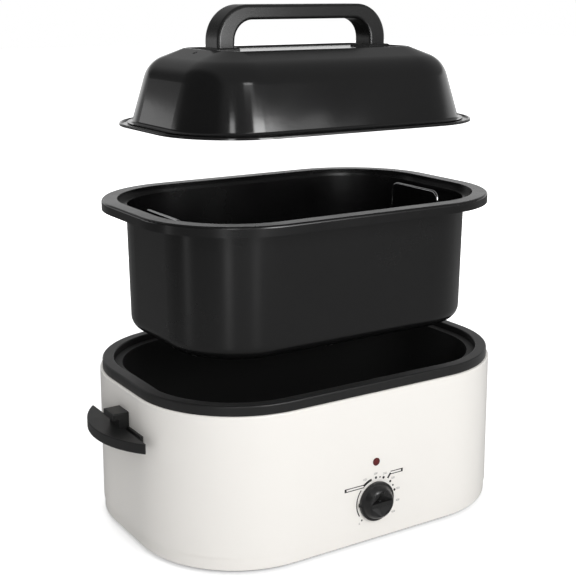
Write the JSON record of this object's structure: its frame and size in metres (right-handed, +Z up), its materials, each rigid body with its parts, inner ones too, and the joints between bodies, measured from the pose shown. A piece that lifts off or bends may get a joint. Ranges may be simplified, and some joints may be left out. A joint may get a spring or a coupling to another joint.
{
  "type": "electric roaster oven",
  "caption": "Electric roaster oven drawn apart: a heated base with knob and side handles, a lift-out pan with a wire rack, and a lift-off lid with an arched handle.",
  "frame": {"origin": "on the worktop under the middle of the base", "axes": "+Z up, -Y towards the side with the knob, +X to the right seen from the knob's side"},
  "size_m": [0.5886, 0.3775, 0.6615],
  "materials": {
    "shell_paint": "warm white gloss paint",
    "zinc_steel": "zinc plated",
    "foot_rubber": "matte",
    "screw_steel": "plated",
    "rim_plastic": "satin",
    "well_steel": "dull grey aluminised steel",
    "heater_mica": "mica and foil",
    "wool": "mineral wool",
    "thermostat_case": "moulded phenolic",
    "knob_plastic": "satin",
    "lens_red": "clear red",
    "lamp_glass": "neon lamp",
    "copper": "copper",
    "lead_black": "sleeved wire",
    "lead_white": "sleeved wire",
    "brass_strip": "bright",
    "fuse_case": "drawn case",
    "inlet_rubber": "moulded bushing",
    "handle_plastic": "satin",
    "pan_enamel": "satin black enamel",
    "rack_chrome": "plated wire",
    "lid_enamel": "gloss black enamel",
    "lid_handle_plastic": "satin gloss"
  },
  "bodies": {
    "base": {"outer_shell": "shell_paint", "bottom_cover": "zinc_steel", "feet": "foot_rubber", "bottom_screws": "screw_steel", "rim_trim": "rim_plastic", "heating_well": "well_steel", "well_posts": "zinc_steel", "heater_band": "heater_mica", "heater_studs": "screw_steel", "insulation_blanket": "wool", "thermostat_bracket": "zinc_steel", "thermostat_body": "thermostat_case", "control_screws": "screw_steel", "indicator_lens": "lens_red", "indicator_lamp": "lamp_glass", "lens_push_nut": "zinc_steel", "sensing_bulb": "copper", "bulb_clip": "zinc_steel", "capillary_tube": "copper", "live_lead": "lead_black", "neutral_lead": "lead_white", "load_link": "brass_strip", "thermal_fuse": "fuse_case", "terminal_block": "thermostat_case", "terminal_screws": "brass_strip", "cord_inlet": "inlet_rubber", "left_handle": "handle_plastic", "right_handle": "handle_plastic", "left_handle_screws": "screw_steel", "right_handle_screws": "screw_steel"},
    "pan": {"cooking_pan": "pan_enamel"},
    "rack": {"roasting_rack": "rack_chrome"},
    "lid": {"lid_shell": "lid_enamel", "lid_handle": "lid_handle_plastic", "lid_screws": "screw_steel", "lid_washers": "zinc_steel"},
    "control": {"knob": "knob_plastic", "thermostat_shaft": "zinc_steel"}
  },
  "joints": [
    {"name": "pan_lift", "type": "slide", "parent": "base", "child": "pan", "axis": [0, 0, 1], "range_m": [-0.1968, 0]},
    {"name": "lid_lift", "type": "slide", "parent": "pan", "child": "lid", "axis": [0, 0, 1], "range_m": [-0.102, 0]},
    {"name": "rack_lift", "type": "slide", "parent": "pan", "child": "rack", "axis": [0, 0, 1], "range_m": [0, 0.012]},
    {"name": "knob_turn", "type": "hinge", "parent": "base", "child": "control", "pos_m": [0, -0.18, 0.057], "axis": [0, -1, 0], "range_deg": [-225, 45]}
  ]
}
